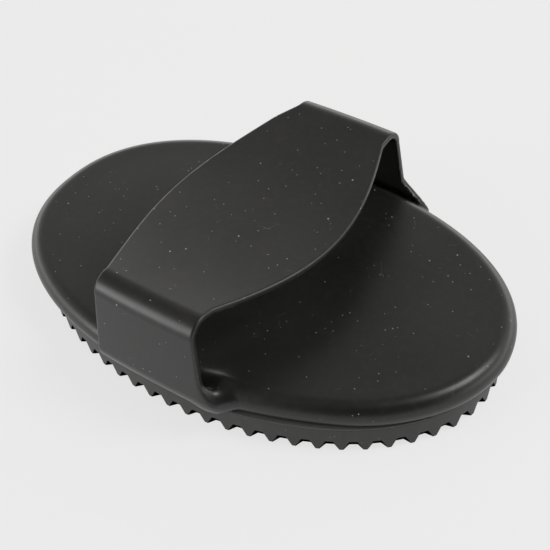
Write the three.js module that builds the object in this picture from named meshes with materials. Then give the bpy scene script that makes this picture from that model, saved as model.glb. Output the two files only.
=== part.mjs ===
// Oval rubber curry comb with a moulded hand strap. Millimetres, +Z up.
// Origin: middle of the oval, on the plane that the tooth tips stand on.
// +X runs along the oval, +Y across it, in line with the hand strap.

import * as THREE from 'three';

// Oval outline of the moulding, measured at the fattest line of its rim
const HALF_LENGTH = 85;
const HALF_WIDTH = 54;
const OVAL_POWER = 2.24;

// Heights
const WALL_TOP = 8.5;
const RIM_BASE = 8.8;
const PLATE_UNDERSIDE = 11.8;
const PLATE_TOP = 16.6;
const STRAP_TOP = 41.8;

// Clearance between the zones of the moulding
const GAP = 0.3;

// Rolled rim: a round bead on a short skirt, joined to the plate
const BEAD_RADIUS = 5;
const BEAD_HEIGHT = 12;
const SKIRT_INSET = 7.2;
const RIM_WIDTH = 9;
const BEAD_STEPS = 8;
const RIM_STEPS = 36;

// Tooth walls
const TOOTH_HEIGHT = 3.7;
const TOOTH_PITCH = 6.9;
const TIP_FLAT = 1.6;
const ROOT_FLAT = 2.7;
const OUTER_WALL_HALF_LENGTH = 82.2;
const OUTER_WALL_HALF_WIDTH = 53.6;
const OUTER_WALL_POWER = 2.05;
const OUTER_WALL_THICKNESS = 3.6;
const SERRATION_DEPTH = 2.15;
const RING_THICKNESS = 3.2;
const RING_INSETS = { tooth_ring_2: 16.5, tooth_ring_3: 29.5, tooth_ring_4: 41.5 };
const RIB_HALF_LENGTH = 29;

// Hand strap: an arch over the middle with a slightly hollow top, widest at its crown. Its legs
// stand proud of the rim at the foot and lean in towards the shoulders.
const STRAP_THICKNESS = 2.2;
const LEG_BULGE_HEIGHT = 14;
const FOOT_INSET = 0.4;
const BULGE_PROUD = 2.4;
const SHOULDER_PROUD = 0.5;
const SHOULDER_RADIUS = 6;
const CROWN_SAG = 4.4;
const CROWN_HALF_WIDTH = 29;
const SHOULDER_HALF_WIDTH = 17.9;
const LEG_HALF_WIDTH = 19.4;
const FOOT_HALF_WIDTH = 27;
const FOOT_FILLET_HEIGHT = 6.5;
const STRAP_COLUMNS = 8;
const CROWN_STEPS = 9;
const ARC_STEPS = 5;

// Closed oval curve, sampled finely so that points can be asked for by distance along it
function makeOval(halfLength, halfWidth, power = OVAL_POWER) {
  const samples = 1440;
  const points = [];
  for (let i = 0; i <= samples; i++) {
    const angle = (2 * Math.PI * i) / samples;
    const c = Math.cos(angle);
    const s = Math.sin(angle);
    points.push(new THREE.Vector2(
      halfLength * Math.sign(c) * Math.abs(c) ** (2 / power),
      halfWidth * Math.sign(s) * Math.abs(s) ** (2 / power),
    ));
  }
  const distances = [0];
  for (let i = 1; i <= samples; i++) {
    distances.push(distances[i - 1] + points[i].distanceTo(points[i - 1]));
  }
  const length = distances[samples];

  const point = (distance) => {
    const wanted = THREE.MathUtils.euclideanModulo(distance, length);
    let low = 0;
    let high = samples;
    while (high - low > 1) {
      const middle = (low + high) >> 1;
      if (distances[middle] <= wanted) low = middle;
      else high = middle;
    }
    const share = (wanted - distances[low]) / (distances[high] - distances[low]);
    return points[low].clone().lerp(points[high], share);
  };
  const normal = (distance) => {
    const tangent = point(distance + 0.5).sub(point(distance - 0.5)).normalize();
    return new THREE.Vector2(tangent.y, -tangent.x);
  };
  const inset = (distance, depth) => point(distance).addScaledVector(normal(distance), -depth);
  return { length, point, normal, inset };
}

const outline = makeOval(HALF_LENGTH, HALF_WIDTH);

// Solid through a row of sections with equal point counts, each a loop of Vector3. A closed row
// joins its last section to its first; an open one is capped with capTriangles.
function loft(sections, closed, capTriangles = []) {
  const loop = sections[0].length;
  const positions = sections.flat().flatMap((p) => [p.x, p.y, p.z]);
  const triangles = [];
  const spans = closed ? sections.length : sections.length - 1;
  for (let i = 0; i < spans; i++) {
    const next = (i + 1) % sections.length;
    for (let k = 0; k < loop; k++) {
      const a = i * loop + k;
      const b = i * loop + ((k + 1) % loop);
      const c = next * loop + ((k + 1) % loop);
      const d = next * loop + k;
      triangles.push(...splitQuad(positions, a, b, c, d));
    }
  }
  const last = (sections.length - 1) * loop;
  for (const [a, b, c] of capTriangles) {
    triangles.push(a, c, b);
    triangles.push(last + a, last + b, last + c);
  }
  const geometry = new THREE.BufferGeometry();
  geometry.setAttribute('position', new THREE.Float32BufferAttribute(positions, 3));
  geometry.setIndex(triangles);
  return pointOutwards(geometry);
}

// Two triangles for a quad, cut along its lower diagonal so that tooth flanks stay flat
function splitQuad(positions, a, b, c, d) {
  const height = (i) => positions[3 * i + 2];
  if (height(a) + height(c) <= height(b) + height(d)) return [a, b, c, a, c, d];
  return [a, b, d, b, c, d];
}

// Turns the triangles over if the solid's volume comes out negative
function pointOutwards(geometry) {
  const p = geometry.attributes.position;
  const index = geometry.index;
  const corners = [new THREE.Vector3(), new THREE.Vector3(), new THREE.Vector3()];
  let volume = 0;
  for (let i = 0; i < index.count; i += 3) {
    corners.forEach((corner, k) => corner.fromBufferAttribute(p, index.getX(i + k)));
    volume += corners[0].dot(corners[1].clone().cross(corners[2]));
  }
  if (volume < 0) {
    for (let i = 0; i < index.count; i += 3) {
      const second = index.getX(i + 1);
      index.setX(i + 1, index.getX(i + 2));
      index.setX(i + 2, second);
    }
  }
  return geometry;
}

// Height of the lowest point at each station of a row of teeth: tip, tip, notch, notch
function toothStations(count, length) {
  const pitch = length / count;
  const flank = (pitch - TIP_FLAT - ROOT_FLAT) / 2;
  const stations = [];
  for (let i = 0; i < count; i++) {
    const middle = i * pitch;
    stations.push({ at: middle - TIP_FLAT / 2, notch: false });
    stations.push({ at: middle + TIP_FLAT / 2, notch: false });
    stations.push({ at: middle + TIP_FLAT / 2 + flank, notch: true });
    stations.push({ at: middle + TIP_FLAT / 2 + flank + ROOT_FLAT, notch: true });
  }
  return stations;
}

// Even number of teeth nearest to the wanted pitch, so that the two halves mirror each other
function toothCount(length) {
  return 2 * Math.round(length / TOOTH_PITCH / 2);
}

// Outer wall: its serrations are deep at the outer face and run out before the inner face
function outerToothWall() {
  const face = makeOval(OUTER_WALL_HALF_LENGTH, OUTER_WALL_HALF_WIDTH, OUTER_WALL_POWER);
  const sections = toothStations(toothCount(face.length), face.length).map(({ at, notch }) => {
    const corner = (depth, z) => {
      const p = face.inset(at, depth);
      return new THREE.Vector3(p.x, p.y, z);
    };
    return [
      corner(0, notch ? TOOTH_HEIGHT : 0),
      corner(SERRATION_DEPTH, 0),
      corner(OUTER_WALL_THICKNESS, 0),
      corner(OUTER_WALL_THICKNESS, WALL_TOP),
      corner(0, WALL_TOP),
    ];
  });
  return loft(sections, true);
}

// Inner ring: an upright wall with teeth cut right through it
function toothRing(ringInset) {
  const ring = makeOval(HALF_LENGTH - ringInset, HALF_WIDTH - ringInset);
  const sections = toothStations(toothCount(ring.length), ring.length).map(({ at, notch }) => {
    const outer = ring.inset(at, -RING_THICKNESS / 2);
    const inner = ring.inset(at, RING_THICKNESS / 2);
    const low = notch ? TOOTH_HEIGHT : 0;
    const high = PLATE_UNDERSIDE - GAP;
    return [
      new THREE.Vector3(outer.x, outer.y, low),
      new THREE.Vector3(inner.x, inner.y, low),
      new THREE.Vector3(inner.x, inner.y, high),
      new THREE.Vector3(outer.x, outer.y, high),
    ];
  });
  return loft(sections, true);
}

// Straight toothed rib along the middle of the underside
function centreToothRib() {
  const teeth = Math.round((2 * RIB_HALF_LENGTH) / TOOTH_PITCH);
  const pitch = (2 * RIB_HALF_LENGTH - TIP_FLAT) / (teeth - 1);
  const flank = (pitch - TIP_FLAT - ROOT_FLAT) / 2;
  const top = PLATE_UNDERSIDE - GAP;
  const side = new THREE.Shape();
  side.moveTo(-RIB_HALF_LENGTH, top);
  for (let i = 0; i < teeth; i++) {
    const start = -RIB_HALF_LENGTH + i * pitch;
    side.lineTo(start, 0);
    side.lineTo(start + TIP_FLAT, 0);
    if (i === teeth - 1) break;
    side.lineTo(start + TIP_FLAT + flank, TOOTH_HEIGHT);
    side.lineTo(start + TIP_FLAT + flank + ROOT_FLAT, TOOTH_HEIGHT);
  }
  side.lineTo(RIB_HALF_LENGTH, top);
  const geometry = new THREE.ExtrudeGeometry(side, { depth: RING_THICKNESS, bevelEnabled: false });
  geometry.translate(0, 0, -RING_THICKNESS / 2);
  return geometry;
}

// Oval plate inside the rolled rim
function backPlate() {
  const steps = 112;
  const shape = new THREE.Shape();
  for (let i = 0; i < steps; i++) {
    const p = outline.inset((outline.length * i) / steps, RIM_WIDTH + GAP);
    if (i === 0) shape.moveTo(p.x, p.y);
    else shape.lineTo(p.x, p.y);
  }
  const depth = PLATE_TOP - PLATE_UNDERSIDE;
  return new THREE.ExtrudeGeometry(shape, { depth, bevelEnabled: false });
}

// Rolled rim along one end of the oval, from one strap foot round to the other
function rimBead(middleDistance) {
  const section = [
    [SKIRT_INSET, RIM_BASE],
    [SKIRT_INSET, PLATE_UNDERSIDE],
    [RIM_WIDTH, PLATE_UNDERSIDE],
    [RIM_WIDTH, PLATE_TOP],
  ];
  const lowAngle = Math.asin((RIM_BASE - BEAD_HEIGHT) / BEAD_RADIUS);
  for (let i = 0; i <= BEAD_STEPS; i++) {
    const angle = THREE.MathUtils.lerp(Math.PI / 2, lowAngle, i / BEAD_STEPS);
    section.push([
      BEAD_RADIUS - BEAD_RADIUS * Math.cos(angle),
      BEAD_HEIGHT + BEAD_RADIUS * Math.sin(angle),
    ]);
  }

  const reach = outline.length / 4 - FOOT_HALF_WIDTH - GAP;
  const sections = [];
  for (let i = 0; i <= RIM_STEPS; i++) {
    const at = middleDistance + THREE.MathUtils.lerp(-reach, reach, i / RIM_STEPS);
    sections.push(section.map(([depth, z]) => {
      const p = outline.inset(at, depth);
      return new THREE.Vector3(p.x, p.y, z);
    }));
  }
  const cap = THREE.ShapeUtils.triangulateShape(section.map(([x, y]) => new THREE.Vector2(x, y)), []);
  return loft(sections, false, cap);
}

// How far the outer face of a leg stands inside the outline at a height (negative: outside it)
function legInset(z) {
  if (z < LEG_BULGE_HEIGHT) {
    const share = (LEG_BULGE_HEIGHT - z) / (LEG_BULGE_HEIGHT - RIM_BASE);
    return (FOOT_INSET + BULGE_PROUD) * share ** 2 - BULGE_PROUD;
  }
  const share = (z - LEG_BULGE_HEIGHT) / (STRAP_TOP - SHOULDER_RADIUS - LEG_BULGE_HEIGHT);
  return THREE.MathUtils.lerp(-BULGE_PROUD, -SHOULDER_PROUD, share);
}

// How far the face of the rim's bead stands inside the outline at a height
function beadInset(z) {
  const rise = Math.min(Math.abs(z - BEAD_HEIGHT), BEAD_RADIUS);
  return BEAD_RADIUS - Math.sqrt(BEAD_RADIUS ** 2 - rise ** 2);
}

// Stations of the strap from the foot of its +Y leg to the middle of its crown. Each holds its
// outer and inner point as [inset from the outline, height], its half width, and whether its
// sides follow the outline's normals (lean 1) or stand square to the strap (lean 0).
function strapHalf() {
  const half = [
    [RIM_BASE, SKIRT_INSET],
    [PLATE_UNDERSIDE - GAP, SKIRT_INSET],
    [PLATE_UNDERSIDE, RIM_WIDTH],
    [LEG_BULGE_HEIGHT, RIM_WIDTH],
  ].map(([z, innerInset]) => (
    { outer: [legInset(z), z], inner: [innerInset, z], width: FOOT_HALF_WIDTH, lean: 1 }
  ));

  // Foot fillets: the inner face sweeps in to the plate and the side edges sweep out along the rim
  for (let i = 0; i <= ARC_STEPS; i++) {
    const angle = (Math.PI / 2) * (i / ARC_STEPS);
    const z = PLATE_TOP + FOOT_FILLET_HEIGHT * (1 - Math.cos(angle));
    const innerFace = legInset(z) + STRAP_THICKNESS;
    half.push({
      outer: [legInset(z), z],
      inner: [THREE.MathUtils.lerp(RIM_WIDTH, innerFace, Math.sin(angle)), z],
      width: THREE.MathUtils.lerp(FOOT_HALF_WIDTH, LEG_HALF_WIDTH, Math.sin(angle)),
      lean: 1 - i / ARC_STEPS,
    });
  }

  // Shoulder: an arc from the leg over the top to the start of the hollow crown
  const arcHeight = STRAP_TOP - SHOULDER_RADIUS;
  const arcInset = SHOULDER_RADIUS - SHOULDER_PROUD;
  const crownSlope = (2 * CROWN_SAG) / (HALF_WIDTH - arcInset);
  const arcEnd = Math.PI / 2 + Math.atan(crownSlope);
  for (let i = 0; i <= ARC_STEPS; i++) {
    const angle = (arcEnd * i) / ARC_STEPS;
    const along = (radius) => [arcInset - radius * Math.cos(angle), arcHeight + radius * Math.sin(angle)];
    half.push({
      outer: along(SHOULDER_RADIUS),
      inner: along(SHOULDER_RADIUS - STRAP_THICKNESS),
      width: SHOULDER_HALF_WIDTH,
      lean: 0,
    });
  }

  // Crown: bulging to its full width in the middle and dipping towards it
  const [startInset, startHeight] = half[half.length - 1].outer;
  for (let i = 1; i <= CROWN_STEPS; i++) {
    const share = i / CROWN_STEPS;
    const inset = THREE.MathUtils.lerp(startInset, HALF_WIDTH, share);
    const z = startHeight - CROWN_SAG * (1 - (1 - share) ** 2);
    const bulge = Math.sin((Math.PI / 2) * share) ** 1.3;
    half.push({
      outer: [inset, z],
      inner: [inset, z - STRAP_THICKNESS],
      width: THREE.MathUtils.lerp(SHOULDER_HALF_WIDTH, CROWN_HALF_WIDTH, bulge),
      lean: 0,
    });
  }
  return half;
}

// One strap section: a loop across the outer face and back along the inner one
function strapSection({ outer, inner, width, lean }, side) {
  const place = ([ownInset, z], column) => {
    const across = THREE.MathUtils.lerp(-width, width, column / STRAP_COLUMNS);
    const flare = Math.max((Math.abs(across) - LEG_HALF_WIDTH) / (FOOT_HALF_WIDTH - LEG_HALF_WIDTH), 0);
    const inset = Math.max(ownInset, THREE.MathUtils.lerp(ownInset, beadInset(z), flare));
    const at = outline.length / 4 - across;
    const square = outline.point(at);
    square.y *= (HALF_WIDTH - inset) / HALF_WIDTH;
    const p = square.lerp(outline.inset(at, inset), lean);
    return new THREE.Vector3(p.x, side * p.y, z);
  };
  const loop = [];
  for (let column = 0; column <= STRAP_COLUMNS; column++) loop.push(place(outer, column));
  for (let column = STRAP_COLUMNS; column >= 0; column--) loop.push(place(inner, column));
  return loop;
}

function handStrap() {
  const half = strapHalf();
  const nearSide = half.map((station) => strapSection(station, 1));
  const farSide = half.slice(0, -1).map((station) => strapSection(station, -1)).reverse();
  const cap = [];
  const loop = 2 * (STRAP_COLUMNS + 1);
  for (let column = 0; column < STRAP_COLUMNS; column++) {
    const back = loop - 1 - column;
    cap.push([column, column + 1, back], [column + 1, back - 1, back]);
  }
  return loft([...nearSide, ...farSide], false, cap);
}

const plateRubber = new THREE.MeshStandardMaterial({ color: 0x2b2c2d, roughness: 0.45, metalness: 0 });
const strapRubber = new THREE.MeshStandardMaterial({ color: 0x333334, roughness: 0.42, metalness: 0 });
const toothRubber = new THREE.MeshStandardMaterial({ color: 0x2f2f2d, roughness: 0.6, metalness: 0 });

const curryComb = new THREE.Group();

function addPart(name, geometry, material, height = 0) {
  const mesh = new THREE.Mesh(geometry, material);
  mesh.name = name;
  mesh.position.z = height;
  curryComb.add(mesh);
  return mesh;
}

addPart('back_plate', backPlate(), plateRubber, PLATE_UNDERSIDE);
addPart('rim_bead_right', rimBead(0), plateRubber);
addPart('rim_bead_left', rimBead(outline.length / 2), plateRubber);
addPart('hand_strap', handStrap(), strapRubber);
addPart('outer_tooth_wall', outerToothWall(), toothRubber);
for (const [name, ringInset] of Object.entries(RING_INSETS)) {
  addPart(name, toothRing(ringInset), toothRubber);
}
const rib = addPart('centre_tooth_rib', centreToothRib(), toothRubber);
rib.rotation.x = Math.PI / 2;

export default curryComb;
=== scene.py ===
import math

import bmesh
import bpy
import numpy as np
from mathutils import Matrix, Vector


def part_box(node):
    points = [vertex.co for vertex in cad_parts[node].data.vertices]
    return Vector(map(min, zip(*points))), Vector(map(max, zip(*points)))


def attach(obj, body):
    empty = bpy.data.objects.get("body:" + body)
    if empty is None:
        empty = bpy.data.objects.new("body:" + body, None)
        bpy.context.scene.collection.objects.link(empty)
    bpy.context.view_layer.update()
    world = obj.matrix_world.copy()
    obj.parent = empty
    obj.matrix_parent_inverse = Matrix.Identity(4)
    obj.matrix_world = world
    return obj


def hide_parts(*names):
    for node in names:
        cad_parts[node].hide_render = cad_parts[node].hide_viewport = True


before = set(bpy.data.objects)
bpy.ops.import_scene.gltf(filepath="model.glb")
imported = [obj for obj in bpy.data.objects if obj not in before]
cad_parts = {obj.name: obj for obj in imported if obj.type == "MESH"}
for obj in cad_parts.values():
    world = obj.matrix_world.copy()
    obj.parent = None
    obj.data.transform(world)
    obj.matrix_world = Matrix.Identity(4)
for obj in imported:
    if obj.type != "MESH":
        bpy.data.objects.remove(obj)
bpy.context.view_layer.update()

# Shapes are worked out in millimetres and turned into metres as each mesh is made
MM = 0.001


def node_box(name):
    """Lowest and highest corner of a CAD node, in millimetres."""
    low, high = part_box(name)
    return np.array(low) / MM, np.array(high) / MM


rim_low, rim_high = node_box("rim_bead_right")
strap_low, strap_high = node_box("hand_strap")
plate_low, plate_high = node_box("back_plate")
wall_low, wall_high = node_box("outer_tooth_wall")

# Oval outline, at the fattest line of the rim
OVAL_POWER = 2.24
HALF_LENGTH = rim_high[0]
HALF_WIDTH = 54.0

# Heights
RIM_BASE = rim_low[2]
PLATE_UNDERSIDE = plate_low[2]
PLATE_TOP = plate_high[2]
STRAP_TOP = strap_high[2]

# Rim and plate. The rim draws in over the wall along the near right quarter of the oval, by a
# share that grows between these distances along and across it.
DRAWN_IN = 3.9
DRAWN_IN_ALONG = (0, 55)
DRAWN_IN_ACROSS = (-8, 30)
WALL_DRAWN_IN = 0.4
BEAD_RADIUS = 4.8
BEAD_HEIGHT = 11.9
SKIRT_FACE = 3.0
SKIRT_INSET = 7.2
DISH_END = 13.0

# Hand strap: its legs bulge over the rim at the foot and lean in towards the shoulders, and the
# crown dips between the shoulders. Towards +X each foot widens into a fin. The pairs of numbers
# are distances from the middle between which something sets in. The edge slant is the cosine of
# the angle between the strap's side edges and the Y axis.
STRAP_THICKNESS = 2.1
FOOT_FACE = HALF_WIDTH - 0.4
BULGE_HEIGHT = 14.5
BULGE_FACE = strap_high[1] - 0.05
SHOULDER_FACE = HALF_WIDTH + 0.6
SHOULDER_RADIUS = 6.0
CROWN_SAG = 4.5
CROWN_HALF_WIDTH = 29.2
CROWN_REACH_RIGHT = 44.0
CROWN_REACH_LEFT = 47.5
FAR_CORNER_TRIM = 1.6
SHOULDER_HALF_WIDTH = 18.3
FOOT_HALF_WIDTH = 20.0
STRAP_EDGE_RADIUS = 0.6
EDGE_SLANT = 0.95
BOW_BAND = (30, 50)
CORNER_BAND = (38, 50)
LEG_BAND = (44, 50)
LEG_BOW = 0.5
FIN_TOP = 20.5
FIN_BASE = 13.5
FIN_REACH = 10.0
NEAR_FIN_REACH = 3.0
FIN_POWER = 1.4
FIN_BOW = 0.012

# Solid pad inside each foot, its top sloping down inwards
PAD_INNER_FACE = 44
PAD_SLOPE = (0.55, 0.84)

# Fillets between strap and plate: plain outside the rim, wider inside it, widest at the near
# right foot. The rim's own band is a range of depths from the outline.
PLAIN_FILLET = 1.4
INNER_FILLET = 7.0
RIM_BAND = (1, 6)
WEB_FILLET = 4.5
WEB_ALONG = (10, 22)
WEB_ACROSS = (30, 45)

# Rounded end of the rim where it meets the feet on the -X side
NOSE_LENGTH = 4.0
NOSE_DEPTH = 1.0

# Height at which the moulded back is cut into two pieces
SEAM_HEIGHT = 27.0

# Tooth walls
TOOTH_HEIGHT = 3.7
TOOTH_PITCH = 6.9
TIP_FLAT = 1.0
ROOT_FLAT = 2.5
WALL_THICKNESS = 3.6
SERRATION_DEPTH = 2.15
WALL_POWER = 2.05
RING_THICKNESS = 3.2

# Each piece's mesh is made this far past its own heights, then cut or closed
SEAM_MARGIN = 0.8

# Steps of the grids that the back's distances are tabled on, and of those that it is meshed on
DEPTH_STEP = 0.8
MIDDLE_STEP = 0.25
PLATE_STEP = 0.6
STRAP_STEP = 0.4


# ---------------------------------------------------------------- outline

class Oval:
    """Closed oval curve with points, normals and distances along it."""

    def __init__(self, half_length, half_width, power=OVAL_POWER, samples=2880):
        angle = np.linspace(0, 2 * np.pi, samples + 1)
        c, s = np.cos(angle), np.sin(angle)
        power = 2 / power
        self.points = np.stack([
            half_length * np.sign(c) * np.abs(c) ** power,
            half_width * np.sign(s) * np.abs(s) ** power,
        ], axis=1)
        steps = np.linalg.norm(np.diff(self.points, axis=0), axis=1)
        self.distances = np.concatenate([[0], np.cumsum(steps)])
        self.length = self.distances[-1]

    def point(self, distance):
        wanted = np.mod(distance, self.length)
        x = np.interp(wanted, self.distances, self.points[:, 0])
        y = np.interp(wanted, self.distances, self.points[:, 1])
        return np.stack([x, y], axis=-1)

    def normal(self, distance):
        tangent = self.point(distance + 0.5) - self.point(distance - 0.5)
        tangent /= np.linalg.norm(tangent, axis=-1, keepdims=True)
        return np.stack([tangent[..., 1], -tangent[..., 0]], axis=-1)

    def inset(self, distance, depth):
        return self.point(distance) - self.normal(distance) * depth


outline = Oval(HALF_LENGTH, HALF_WIDTH)


# ---------------------------------------------------------------- moulded back

def smooth_step(low, high, value):
    share = np.clip((value - low) / (high - low), 0, 1)
    return share * share * (3 - 2 * share)


def round_corner(a, b, radius):
    """Where two solids overlap, with the outer corner between their surfaces rounded."""
    u, v = a + radius, b + radius
    outside = np.hypot(np.maximum(u, 0), np.maximum(v, 0))
    return outside + np.minimum(np.maximum(u, v), 0) - radius


def fillet_join(a, b, radius):
    """Two solids joined, with a fillet of that radius in the corner between them."""
    near = np.hypot(np.maximum(radius - a, 0), np.maximum(radius - b, 0))
    return np.maximum(radius, np.minimum(a, b)) - near


def leg_face(z):
    """How far out the outer face of a leg stands at a height."""
    below = np.clip((BULGE_HEIGHT - z) / (BULGE_HEIGHT - RIM_BASE), 0, 1.4)
    above = np.clip((z - BULGE_HEIGHT) / (STRAP_TOP - SHOULDER_RADIUS - BULGE_HEIGHT), 0, 1)
    return BULGE_FACE - (BULGE_FACE - FOOT_FACE) * below ** 2 + (SHOULDER_FACE - BULGE_FACE) * above


def strap_middle():
    """Middle of the strap's gauge seen along X, from the foot of the +Y leg to the crown."""
    half_gauge = STRAP_THICKNESS / 2
    arc_height = STRAP_TOP - SHOULDER_RADIUS
    heights = np.linspace(RIM_BASE - 2, arc_height, 60)
    leg = np.stack([leg_face(heights) - half_gauge, heights], axis=1)

    centre = np.array([SHOULDER_FACE - SHOULDER_RADIUS, arc_height])
    slope = 2 * CROWN_SAG / centre[0]
    angle = np.linspace(0, np.pi / 2 + math.atan(slope), 30)
    radius = SHOULDER_RADIUS - half_gauge
    shoulder = centre + radius * np.stack([np.cos(angle), np.sin(angle)], axis=1)

    start_y, start_z = shoulder[-1]
    y = np.linspace(start_y, -10, 80)
    crown = np.stack([y, start_z - CROWN_SAG * (1 - (y / start_y) ** 2)], axis=1)
    return np.concatenate([leg[:-1], shoulder, crown[1:]])


def drawn_in_share(x, y):
    """How far round the drawn-in quarter a place is: 1 well inside it, 0 outside it."""
    return smooth_step(*DRAWN_IN_ALONG, x) * smooth_step(*DRAWN_IN_ACROSS, -y)


class Grid:
    """Values tabled on an even grid of two coordinates and read between its points."""

    def __init__(self, low, high, step, rule):
        self.low, self.step = low, step
        axes = [np.arange(low[k], high[k] + step, step) for k in range(2)]
        self.values = np.stack([
            rule(np.stack([np.full(len(axes[1]), u), axes[1]], axis=1)) for u in axes[0]
        ])

    def __call__(self, u, v):
        u = np.clip((u - self.low[0]) / self.step, 0, self.values.shape[0] - 1.001)
        v = np.clip((v - self.low[1]) / self.step, 0, self.values.shape[1] - 1.001)
        i, j = u.astype(int), v.astype(int)
        du, dv = u - i, v - j
        t = self.values
        low = t[i, j] * (1 - dv) + t[i, j + 1] * dv
        high = t[i + 1, j] * (1 - dv) + t[i + 1, j + 1] * dv
        return low * (1 - du) + high * du


def distance_inside_outline(places):
    along = np.linspace(0, outline.length, 1400, endpoint=False)
    points, normals = outline.point(along), outline.normal(along)
    offsets = places[:, None, :] - points[None, :, :]
    nearest = np.argmin((offsets ** 2).sum(axis=2), axis=1)
    row = np.arange(len(places))
    return -(offsets[row, nearest] * normals[nearest]).sum(axis=1)


def distance_to_strap_middle(places):
    path = strap_middle()
    start, run = path[:-1], np.diff(path, axis=0)
    offsets = places[:, None, :] - start[None, :, :]
    share = np.clip((offsets * run).sum(axis=2) / (run ** 2).sum(axis=1), 0, 1)
    gaps = offsets - share[..., None] * run
    return np.sqrt((gaps ** 2).sum(axis=2).min(axis=1))


class Back:
    """The plate with its rolled rim and the hand strap, as one smooth distance field."""

    def __init__(self):
        reach = (HALF_LENGTH + 4, BULGE_FACE + 4)
        self.depth = Grid((-reach[0], -reach[1]), reach, DEPTH_STEP, distance_inside_outline)
        self.from_middle = Grid((-3, RIM_BASE - 4), (BULGE_FACE + 8, STRAP_TOP + 4), MIDDLE_STEP,
                                distance_to_strap_middle)

    def plate(self, depth, z):
        rim_top = BEAD_HEIGHT + BEAD_RADIUS
        bead = np.hypot(depth - BEAD_RADIUS, z - BEAD_HEIGHT) - BEAD_RADIUS
        dish = 0.5 + 0.5 * np.cos(np.pi * np.clip((depth - BEAD_RADIUS) / (DISH_END - BEAD_RADIUS), 0, 1))
        top = PLATE_TOP + (rim_top - PLATE_TOP) * dish
        slab = np.maximum(np.maximum(z - top, PLATE_UNDERSIDE - z), BEAD_RADIUS - depth)
        skirt = np.maximum(np.maximum(SKIRT_FACE - depth, depth - SKIRT_INSET), z - BEAD_HEIGHT)
        return np.minimum(np.minimum(bead, slab), skirt)

    def strap(self, x, y, z):
        drawn_in = DRAWN_IN * drawn_in_share(x, y)
        drawn_in = drawn_in * smooth_step(0, FIN_REACH, x - SHOULDER_HALF_WIDTH)
        right, far, x, y = x > 0, y > 0, np.abs(x), np.abs(y)
        reach = np.minimum(x / HALF_LENGTH, 0.999)
        bow = LEG_BOW * HALF_WIDTH * (1 - (1 - reach ** OVAL_POWER) ** (1 / OVAL_POWER))
        bow += FIN_BOW * np.maximum(x - SHOULDER_HALF_WIDTH, 0) ** 2
        across = y + (bow + drawn_in) * smooth_step(*BOW_BAND, y)

        crown_reach = np.where(right, CROWN_REACH_RIGHT, CROWN_REACH_LEFT)
        crown = np.cos(np.pi / 2 * np.clip(y / crown_reach, 0, 1))
        arc_height = STRAP_TOP - SHOULDER_RADIUS
        in_leg = smooth_step(*LEG_BAND, y)
        leg = np.clip((arc_height - z) / (arc_height - BULGE_HEIGHT), 0, 1.1) * in_leg
        width = SHOULDER_HALF_WIDTH + (CROWN_HALF_WIDTH - SHOULDER_HALF_WIDTH) * crown
        width += (FOOT_HALF_WIDTH - SHOULDER_HALF_WIDTH) * leg
        width -= FAR_CORNER_TRIM * smooth_step(*CORNER_BAND, y) * (1 - leg) * (far & ~right)
        fin = np.clip((FIN_TOP - z) / (FIN_TOP - FIN_BASE), 0, 1.05) ** FIN_POWER
        width += np.where(far, FIN_REACH, NEAR_FIN_REACH) * fin * right * in_leg
        side = (x - width) * EDGE_SLANT

        arch = self.from_middle(across, z) - STRAP_THICKNESS / 2
        up_slope, in_slope = PAD_SLOPE
        inwards = leg_face(BULGE_HEIGHT) - STRAP_THICKNESS - across
        slope = up_slope * (z - BULGE_HEIGHT) + in_slope * inwards
        pad = np.maximum(np.maximum(across - leg_face(z), PAD_INNER_FACE - across), slope)
        return round_corner(np.minimum(arch, pad), side, STRAP_EDGE_RADIUS)

    def __call__(self, x, y, z):
        depth = self.depth(x, y) - DRAWN_IN * drawn_in_share(x, y)
        radius = PLAIN_FILLET + (INNER_FILLET - PLAIN_FILLET) * smooth_step(*RIM_BAND, depth)
        radius += WEB_FILLET * smooth_step(*WEB_ALONG, x) * smooth_step(*WEB_ACROSS, -y)
        nose = np.clip((FOOT_HALF_WIDTH + NOSE_LENGTH + x) / NOSE_LENGTH, 0, 1)
        nose = np.where(x < -FOOT_HALF_WIDTH, nose, 0)
        envelope = NOSE_DEPTH * (1 - np.sqrt(1 - nose ** 2))
        plate = np.maximum(self.plate(depth, z), envelope - depth)
        field = fillet_join(self.strap(x, y, z), plate, radius)
        return np.maximum(field, RIM_BASE - z)


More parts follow.
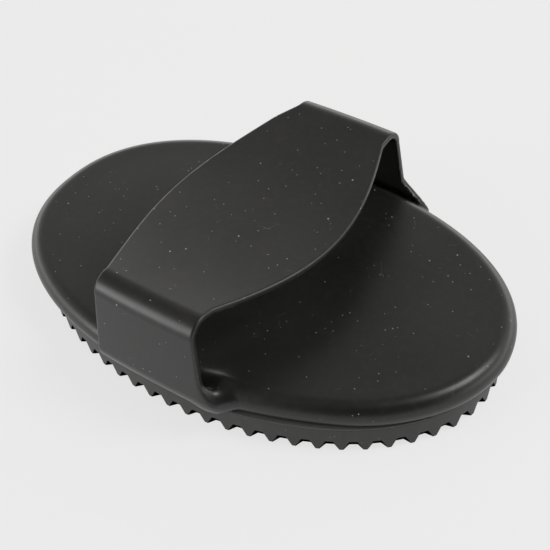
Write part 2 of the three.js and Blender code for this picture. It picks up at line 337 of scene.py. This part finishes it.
def surface_net(field, low, high, step):
    """Quads of the surface where field is zero, with their points settled onto it."""
    axes = [np.arange(low[k], high[k] + step, step) for k in range(3)]
    x, y, z = np.meshgrid(*axes, indexing="ij")
    values = field(x, y, z)
    inside = values < 0
    shape = np.array(values.shape)

    # One point in each cell that the surface crosses, at the mean of its edge crossings
    cells = shape - 1
    total = np.zeros((*cells, 3))
    count = np.zeros(cells)
    corner = np.array([[a, b, c] for a in (0, 1) for b in (0, 1) for c in (0, 1)])
    for start in corner:
        for axis in range(3):
            if start[axis] == 1:
                continue
            end = start.copy()
            end[axis] = 1
            va = values[tuple(slice(s, s + n) for s, n in zip(start, cells))]
            vb = values[tuple(slice(s, s + n) for s, n in zip(end, cells))]
            crossed = (va < 0) != (vb < 0)
            share = np.where(crossed, va / np.where(crossed, va - vb, 1), 0)
            for k in range(3):
                total[..., k] += np.where(crossed, start[k] + (share if k == axis else 0), 0)
            count += crossed
    used = count > 0
    number = np.full(cells, -1)
    number[used] = np.arange(used.sum())
    base = np.argwhere(used)
    points = (base + total[used] / count[used][:, None]) * step + np.array([a[0] for a in axes])

    # One quad round each grid edge that the surface crosses
    quads = []
    for axis in range(3):
        u, v = (axis + 1) % 3, (axis + 2) % 3
        first = [slice(None)] * 3
        second = [slice(None)] * 3
        first[axis], second[axis] = slice(0, -1), slice(1, None)
        for solid_first in (True, False):
            a, b = inside[tuple(first)], inside[tuple(second)]
            crossing = np.argwhere((a & ~b) if solid_first else (~a & b))
            ring = []
            for du, dv in ((-1, -1), (0, -1), (0, 0), (-1, 0)):
                cell = crossing.copy()
                cell[:, u] += du
                cell[:, v] += dv
                ring.append(number[cell[:, 0], cell[:, 1], cell[:, 2]])
            if not solid_first:
                ring.reverse()
            quads.append(np.stack(ring, axis=1))
    return settle(field, points), np.concatenate(quads)


def settle(field, points, rounds=3):
    """Moves points along the field's slope until they lie on its surface."""
    reach = 0.02
    for _ in range(rounds):
        value = field(*points.T)
        slope = np.empty_like(points)
        for k in range(3):
            shift = np.zeros(3)
            shift[k] = reach
            slope[:, k] = (field(*(points + shift).T) - field(*(points - shift).T)) / (2 * reach)
        size = np.maximum((slope ** 2).sum(axis=1), 0.25)
        move = np.clip(value / size, -0.4, 0.4)
        points = points - slope * move[:, None]
    return points


def back_piece(name, field, low, high, step):
    """Piece of the moulded back between two heights, cut off flat and closed at the seam."""
    def between(x, y, z):
        return np.maximum(field(x, y, z), np.maximum(z - high[2] - SEAM_MARGIN, low[2] - SEAM_MARGIN - z))

    points, quads = surface_net(between, np.array(low) - 2, np.array(high) + 2, step)
    mesh = bpy.data.meshes.new(name)
    mesh.from_pydata((points * MM).tolist(), [], quads.tolist())
    mesh.validate()
    above = bool(high[2] > SEAM_HEIGHT)
    bm = bmesh.new()
    bm.from_mesh(mesh)
    geometry = bm.verts[:] + bm.edges[:] + bm.faces[:]
    bmesh.ops.bisect_plane(bm, geom=geometry, plane_co=(0, 0, SEAM_HEIGHT * MM), plane_no=(0, 0, 1),
                           clear_inner=above, clear_outer=not above)
    bmesh.ops.holes_fill(bm, edges=[edge for edge in bm.edges if edge.is_boundary], sides=0)
    bm.to_mesh(mesh)
    bm.free()
    mesh.polygons.foreach_set("use_smooth", [True] * len(mesh.polygons))
    mesh.set_sharp_from_angle(angle=math.radians(50))
    piece = bpy.data.objects.new(name, mesh)
    bpy.context.collection.objects.link(piece)
    return piece


def moulded_back():
    """Plate with rim and strap feet, and the strap above them, cut from one shape."""
    field = Back()
    plate = back_piece("plate_and_rim", field, (-HALF_LENGTH, -BULGE_FACE, RIM_BASE),
                       (HALF_LENGTH, BULGE_FACE, SEAM_HEIGHT), PLATE_STEP)
    strap = back_piece("strap", field, (-CROWN_HALF_WIDTH, -BULGE_FACE, SEAM_HEIGHT),
                       (CROWN_HALF_WIDTH, BULGE_FACE, STRAP_TOP), STRAP_STEP)
    return plate, strap


# ---------------------------------------------------------------- tooth walls

def tooth_stations(length):
    """Distances along a wall and whether each is in a notch: tip, tip, notch, notch."""
    count = 2 * round(length / TOOTH_PITCH / 2)
    pitch = length / count
    flank = (pitch - TIP_FLAT - ROOT_FLAT) / 2
    for i in range(count):
        tip_end = i * pitch + TIP_FLAT / 2
        yield i * pitch - TIP_FLAT / 2, False
        yield tip_end, False
        yield tip_end + flank, True
        yield tip_end + flank + ROOT_FLAT, True


def ring_piece(name, sections, rounding):
    """Closed ring through equal sections, each a list of (x, y, z), with its edges rounded."""
    loop = len(sections[0])
    count = len(sections)
    faces = []
    for i in range(count):
        n = (i + 1) % count
        for k in range(loop):
            m = (k + 1) % loop
            a, b, c, d = i * loop + k, i * loop + m, n * loop + m, n * loop + k
            heights = [sections[i][k][2], sections[i][m][2], sections[n][m][2], sections[n][k][2]]
            if abs(heights[0] + heights[2] - heights[1] - heights[3]) < 1e-6:
                faces.append([a, b, c, d])
            elif heights[0] + heights[2] < heights[1] + heights[3]:
                faces += [[a, b, c], [a, c, d]]
            else:
                faces += [[a, b, d], [b, c, d]]
    mesh = bpy.data.meshes.new(name)
    mesh.from_pydata((np.array(sections).reshape(-1, 3) * MM).tolist(), [], faces)
    mesh.validate()
    bm = bmesh.new()
    bm.from_mesh(mesh)
    bmesh.ops.recalc_face_normals(bm, faces=bm.faces)
    bm.to_mesh(mesh)
    bm.free()
    piece = bpy.data.objects.new(name, mesh)
    bpy.context.collection.objects.link(piece)
    bevel = piece.modifiers.new("rounding", "BEVEL")
    bevel.width = rounding * MM
    bevel.segments = 2
    bevel.limit_method = "ANGLE"
    bevel.angle_limit = math.radians(24)
    bevel.harden_normals = False
    mesh.polygons.foreach_set("use_smooth", [True] * len(mesh.polygons))
    mesh.set_sharp_from_angle(angle=math.radians(40))
    return piece


def outer_wall():
    face = Oval(wall_high[0], wall_high[1], WALL_POWER)
    sections = []
    for at, notch in tooth_stations(face.length):
        drawn_in = WALL_DRAWN_IN * drawn_in_share(*face.point(at))

        def corner(depth, z):
            return [*face.inset(at, drawn_in + depth), z]
        sections.append([
            corner(0, TOOTH_HEIGHT if notch else 0),
            corner(SERRATION_DEPTH, 0),
            corner(WALL_THICKNESS, 0),
            corner(WALL_THICKNESS, RIM_BASE),
            corner(0, RIM_BASE),
        ])
    return ring_piece("outer_wall", sections, 0.22)


def inner_ring(name, node):
    low, high = node_box(node)
    ring = Oval(high[0] - RING_THICKNESS / 2, high[1] - RING_THICKNESS / 2)
    sections = []
    for at, notch in tooth_stations(ring.length):
        outer = ring.inset(at, -RING_THICKNESS / 2)
        inner = ring.inset(at, RING_THICKNESS / 2)
        foot = TOOTH_HEIGHT if notch else 0
        sections.append([
            [*outer, foot],
            [*inner, foot],
            [*inner, PLATE_UNDERSIDE],
            [*outer, PLATE_UNDERSIDE],
        ])
    return ring_piece(name, sections, 0.3)


# ---------------------------------------------------------------- materials

class Nodes:
    """Short way to build a material's node tree."""

    def __init__(self, name):
        self.material = bpy.data.materials.new(name)
        self.material.use_nodes = True
        self.tree = self.material.node_tree
        self.shader = self.tree.nodes["Principled BSDF"]
        coordinates = self.tree.nodes.new("ShaderNodeTexCoord")
        self.place = coordinates.outputs["Object"]
        self.facing = coordinates.outputs["Normal"]

    def link(self, source, target):
        self.tree.links.new(source, target)

    def add(self, kind, inputs=None, **settings):
        node = self.tree.nodes.new(kind)
        for key, value in settings.items():
            setattr(node, key, value)
        for key, value in (inputs or {}).items():
            if isinstance(value, bpy.types.NodeSocket):
                self.link(value, node.inputs[key])
            else:
                node.inputs[key].default_value = value
        return node

    def noise(self, scale, detail=3.0, roughness=0.55):
        node = self.add("ShaderNodeTexNoise", {
            "Vector": self.place, "Scale": scale, "Detail": detail, "Roughness": roughness,
        })
        return node.outputs["Fac"]

    def ramp(self, value, stops):
        node = self.add("ShaderNodeValToRGB", {"Fac": value})
        elements = node.color_ramp.elements
        while len(elements) < len(stops):
            elements.new(0.5)
        for element, (position, colour) in zip(elements, stops):
            element.position = position
            element.color = (*colour, 1) if isinstance(colour, tuple) else (colour, colour, colour, 1)
        return node.outputs["Color"]

    def mix(self, share, first, second):
        node = self.add("ShaderNodeMix", data_type="RGBA")
        for socket, value in ((node.inputs[0], share), (node.inputs[6], first), (node.inputs[7], second)):
            if isinstance(value, bpy.types.NodeSocket):
                self.link(value, socket)
            else:
                socket.default_value = value
        return node.outputs[2]

    def math(self, operation, first, second):
        return self.add("ShaderNodeMath", {0: first, 1: second}, operation=operation).outputs[0]


def rubber(name, dark, light, roughness, dust=1.0, ledge_dust_and_highlight=0.0, shaded_notches=0.0):
    """Moulded black rubber: cloudy tone, fine mottling, dust specks, lint and short scuffs, with a
    painted highlight on upward faces and painted shade on downward ones.
    """
    n = Nodes(name)
    cloud = n.noise(30, 4)
    mottle = n.noise(420, 4, 0.7)
    tone = n.mix(n.ramp(cloud, [(0.35, 0.0), (0.7, 1.0)]), (*dark, 1), (*light, 1))
    warm = tuple(c * k for c, k in zip(light, (1.9, 1.65, 1.45)))
    tone = n.mix(n.ramp(mottle, [(0.48, 0.0), (0.78, 0.8)]), tone, (*warm, 1))

    def specks(scale, size, share):
        cells = n.add("ShaderNodeTexVoronoi", {"Vector": n.place, "Scale": scale, "Randomness": 1.0})
        near = n.ramp(cells.outputs["Distance"], [(size * 0.6, 1.0), (size, 0.0)])
        split = n.add("ShaderNodeSeparateColor", {"Color": cells.outputs["Color"]})
        chosen = n.ramp(split.outputs["Red"], [(share, 1.0), (share + 0.002, 0.0)])
        return n.math("MULTIPLY", near, chosen)

    def threads(scale, width, patch):
        waver = n.noise(scale, 1, 0.4)
        line = n.math("ABSOLUTE", n.math("SUBTRACT", waver, 0.5), 0.0)
        line = n.ramp(line, [(width * 0.5, 1.0), (width, 0.0)])
        where = n.ramp(n.noise(patch, 0), [(0.74, 0.0), (0.77, 1.0)])
        return n.math("MULTIPLY", line, where)

    speck = n.math("MAXIMUM", specks(780, 0.16, 0.1), specks(330, 0.11, 0.035))
    speck = n.math("MAXIMUM", speck, n.math("MULTIPLY", threads(190, 0.006, 150), 0.22))
    speck = n.math("MULTIPLY", speck, dust)
    colour = n.mix(speck, tone, (0.36, 0.37, 0.37, 1))

    # Painted highlight: upward faces, above all the top ledge of the tooth wall, take a light dusty grey,
    # which stands for light caught along that ledge as well as dust on it.
    split = n.add("ShaderNodeSeparateXYZ", {"Vector": n.facing})
    upwards = n.ramp(split.outputs["Z"], [(0.5, 0.0), (0.9, ledge_dust_and_highlight)])
    colour = n.mix(upwards, colour, (0.16, 0.16, 0.155, 1))
    # Painted shade: downward faces, the roofs of the notches, turn near black and lose most of their
    # specular.
    turned_down = n.math("MULTIPLY", split.outputs["Z"], -1.0)
    downwards = n.ramp(turned_down, [(0.1, 0.0), (0.3, shaded_notches)])
    colour = n.mix(downwards, colour, (0.002, 0.0015, 0.0012, 1))
    n.link(colour, n.shader.inputs["Base Color"])
    lit = n.math("MULTIPLY", n.math("SUBTRACT", 1.0, downwards), 0.5)
    n.link(lit, n.shader.inputs["Specular IOR Level"])

    low, high = roughness
    rough = n.math("ADD", n.ramp(cloud, [(0.3, low), (0.72, high)]), n.math("MULTIPLY", mottle, 0.08))
    n.link(rough, n.shader.inputs["Roughness"])

    height = n.math("ADD", n.math("MULTIPLY", mottle, 0.12), n.math("MULTIPLY", speck, 0.5))
    bump = n.add("ShaderNodeBump", {"Strength": 0.3, "Distance": 0.0003, "Height": height})
    n.link(bump.outputs["Normal"], n.shader.inputs["Normal"])
    n.shader.inputs["IOR"].default_value = 1.5
    return n.material


# ---------------------------------------------------------------- build

back_rubber = rubber("back_rubber", (0.008, 0.008, 0.008), (0.012, 0.012, 0.0115), (0.27, 0.35))
tooth_rubber = rubber("tooth_rubber", (0.012, 0.012, 0.0112), (0.018, 0.0175, 0.0165), (0.38, 0.46),
                      dust=0.4, ledge_dust_and_highlight=0.9, shaded_notches=1.0)


def settle_piece(piece, material, slot_name, *nodes):
    piece.data.materials.append(material)
    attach(piece, "root")
    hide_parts(*nodes)


plate_piece, strap_piece = moulded_back()
settle_piece(plate_piece, back_rubber, "plate_rubber", "back_plate", "rim_bead_left", "rim_bead_right")
settle_piece(strap_piece, back_rubber, "strap_rubber", "hand_strap")
settle_piece(outer_wall(), tooth_rubber, "tooth_rubber", "outer_tooth_wall")
for number in (2, 3, 4):
    node = f"tooth_ring_{number}"
    settle_piece(inner_ring(f"inner_ring_{number}", node), tooth_rubber, "tooth_rubber", node)
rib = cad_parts["centre_tooth_rib"]
rib.data.materials.clear()
rib.data.materials.append(tooth_rubber)


# ---------------------------------------------------------------- stage

def add_floor():
    mesh = bpy.data.meshes.new("floor")
    size = 3.0
    corners = [(-size, -size, 0), (size, -size, 0), (size, size, 0), (-size, size, 0)]
    mesh.from_pydata(corners, [], [(0, 1, 2, 3)])
    floor = bpy.data.objects.new("floor", mesh)
    bpy.context.collection.objects.link(floor)
    material = bpy.data.materials.new("pale_floor")
    material.use_nodes = True
    shader = material.node_tree.nodes["Principled BSDF"]
    shader.inputs["Base Color"].default_value = (0.14, 0.14, 0.14, 1)
    shader.inputs["Emission Color"].default_value = (1, 1, 1, 1)
    shader.inputs["Emission Strength"].default_value = 0.72
    shader.inputs["Roughness"].default_value = 0.9
    shader.inputs["Specular IOR Level"].default_value = 0.1
    mesh.materials.append(material)


def add_light(name, place, target, size, power):
    data = bpy.data.lights.new(name, "AREA")
    data.shape = "RECTANGLE"
    data.size, data.size_y = size
    data.energy = power
    light = bpy.data.objects.new(name, data)
    light.location = place
    light.rotation_euler = (Vector(target) - Vector(place)).to_track_quat("-Z", "Y").to_euler()
    bpy.context.collection.objects.link(light)


WORLD_STRENGTH = 2.7


def add_world():
    """Studio surround: bright near the horizon, dim above and towards the near right."""
    world = bpy.data.worlds.new("studio")
    world.use_nodes = True
    tree = world.node_tree

    def node(kind, **settings):
        made = tree.nodes.new(kind)
        for key, value in settings.items():
            setattr(made, key, value)
        return made

    def ramp(source, stops):
        made = node("ShaderNodeValToRGB")
        elements = made.color_ramp.elements
        while len(elements) < len(stops):
            elements.new(0.5)
        for element, (position, value) in zip(elements, stops):
            element.position = position
            element.color = (value, value, value, 1)
        tree.links.new(source, made.inputs["Fac"])
        return made.outputs["Color"]

    direction = node("ShaderNodeTexCoord").outputs["Generated"]
    split = node("ShaderNodeSeparateXYZ")
    tree.links.new(direction, split.inputs["Vector"])
    height = ramp(split.outputs["Z"], [
        (0.0, 0.9), (0.27, 0.85), (0.35, 0.2), (0.5, 0.175), (0.66, 0.19), (0.78, 0.14), (0.96, 0.06),
    ])
    towards = node("ShaderNodeVectorMath", operation="DOT_PRODUCT")
    towards.inputs[1].default_value = (0.56, -0.8, 0.2)
    tree.links.new(direction, towards.inputs[0])
    front = ramp(towards.outputs["Value"], [(0.42, 1.0), (0.72, 0.07)])
    product = node("ShaderNodeMath", operation="MULTIPLY")
    tree.links.new(height, product.inputs[0])
    tree.links.new(front, product.inputs[1])
    scaled = node("ShaderNodeMath", operation="MULTIPLY")
    scaled.inputs[1].default_value = WORLD_STRENGTH
    tree.links.new(product.outputs[0], scaled.inputs[0])
    tree.links.new(scaled.outputs[0], tree.nodes["Background"].inputs["Strength"])
    tree.nodes["Background"].inputs["Color"].default_value = (1, 0.99, 0.97, 1)
    bpy.context.scene.world = world
    bpy.context.scene.view_settings.view_transform = "Standard"


def add_camera():
    azimuth, elevation, roll = (math.radians(v) for v in (40.2, 44.1, -5.44))
    distance = 0.3927
    back = Vector((
        math.sin(azimuth) * math.cos(elevation),
        -math.cos(azimuth) * math.cos(elevation),
        math.sin(elevation),
    ))
    right = Vector((math.cos(azimuth), math.sin(azimuth), 0))
    up = back.cross(right)
    turned_right = right * math.cos(roll) + up * math.sin(roll)
    turned_up = up * math.cos(roll) - right * math.sin(roll)
    rotation = Matrix((turned_right, turned_up, back)).transposed()
    data = bpy.data.cameras.new("camera")
    data.sensor_width = 36
    data.lens = 78.27
    data.shift_x = 0.0206
    data.shift_y = 0.0399
    camera = bpy.data.objects.new("camera", data)
    camera.matrix_world = Matrix.Translation(back * distance) @ rotation.to_4x4()
    bpy.context.collection.objects.link(camera)
    bpy.context.scene.camera = camera


add_floor()
add_world()
add_light("right_softbox", (0.5, 0.28, 0.72), (0.03, 0, 0.02), (0.34, 0.34), 3.4)
add_light("left_softbox", (-0.42, -0.74, 0.27), (0, -0.03, 0.03), (0.5, 0.5), 2.6)
add_camera()
